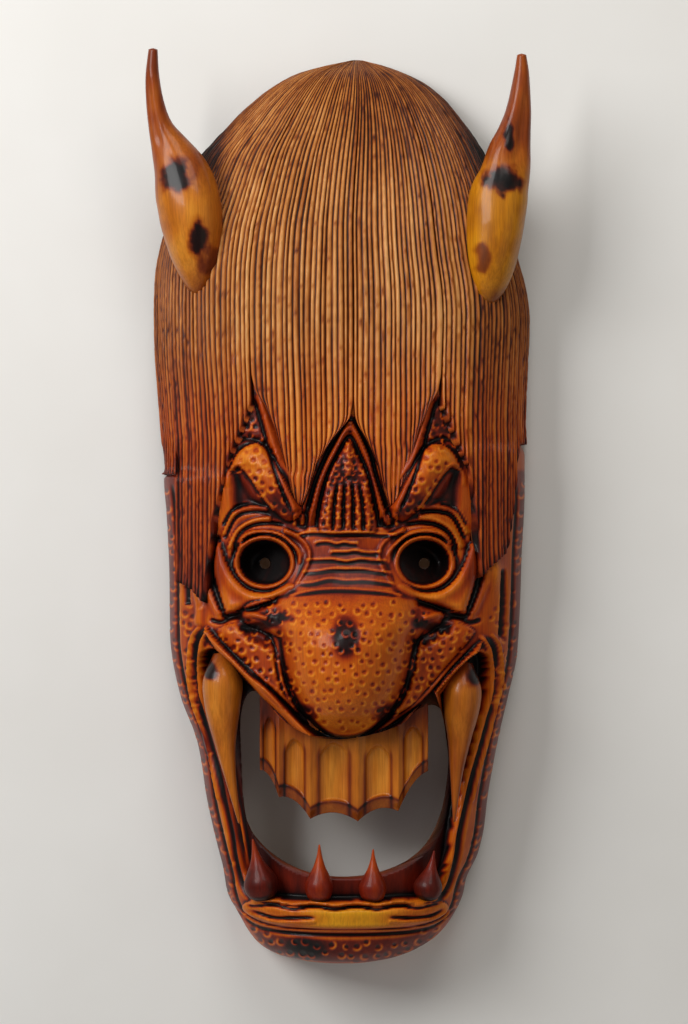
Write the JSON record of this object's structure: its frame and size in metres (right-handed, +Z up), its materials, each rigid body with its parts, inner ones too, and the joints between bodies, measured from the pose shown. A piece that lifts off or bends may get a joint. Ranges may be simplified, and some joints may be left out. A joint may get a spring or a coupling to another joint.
{
  "type": "carved demon wall mask",
  "caption": "Carved wooden demon mask with combed hair, horns, tusks and a through-cut mouth, hung by a ring on its back.",
  "frame": {"origin": "the point of the wall where the hook carries the hanger ring, on the plane of the mask's back", "axes": "+Z up towards the horn tips, +Y back into the wall, +X to the right as the mask is looked at"},
  "size_m": [0.2589, 0.1281, 0.6031],
  "materials": {
    "carved_wood": "carved, scorched and varnished, glossy",
    "horn_wood": "smooth, scorched in patches and varnished",
    "tooth_wood": "smooth and varnished",
    "dowel_wood": "plain turned wood",
    "hanger_steel": "zinc plated",
    "screw_brass": "brassed steel, dull"
  },
  "bodies": {
    "mask": {"mask_body": "carved_wood", "horn_left": "horn_wood", "horn_right": "horn_wood", "horn_dowel_left": "dowel_wood", "horn_dowel_right": "dowel_wood", "upper_teeth": "tooth_wood", "fang_left": "tooth_wood", "fang_right": "tooth_wood", "lower_tooth_outer_left": "tooth_wood", "lower_tooth_inner_left": "tooth_wood", "lower_tooth_inner_right": "tooth_wood", "lower_tooth_outer_right": "tooth_wood", "hanger_strap": "hanger_steel", "hanger_screws": "screw_brass"},
    "ring": {"hanger_ring": "hanger_steel"}
  },
  "joints": [
    {"name": "ring_swing", "type": "hinge", "parent": "mask", "child": "ring", "pos_m": [0, -0.0062, -0.0165], "axis": [-1, 0, 0], "range_deg": [0, 165]}
  ]
}
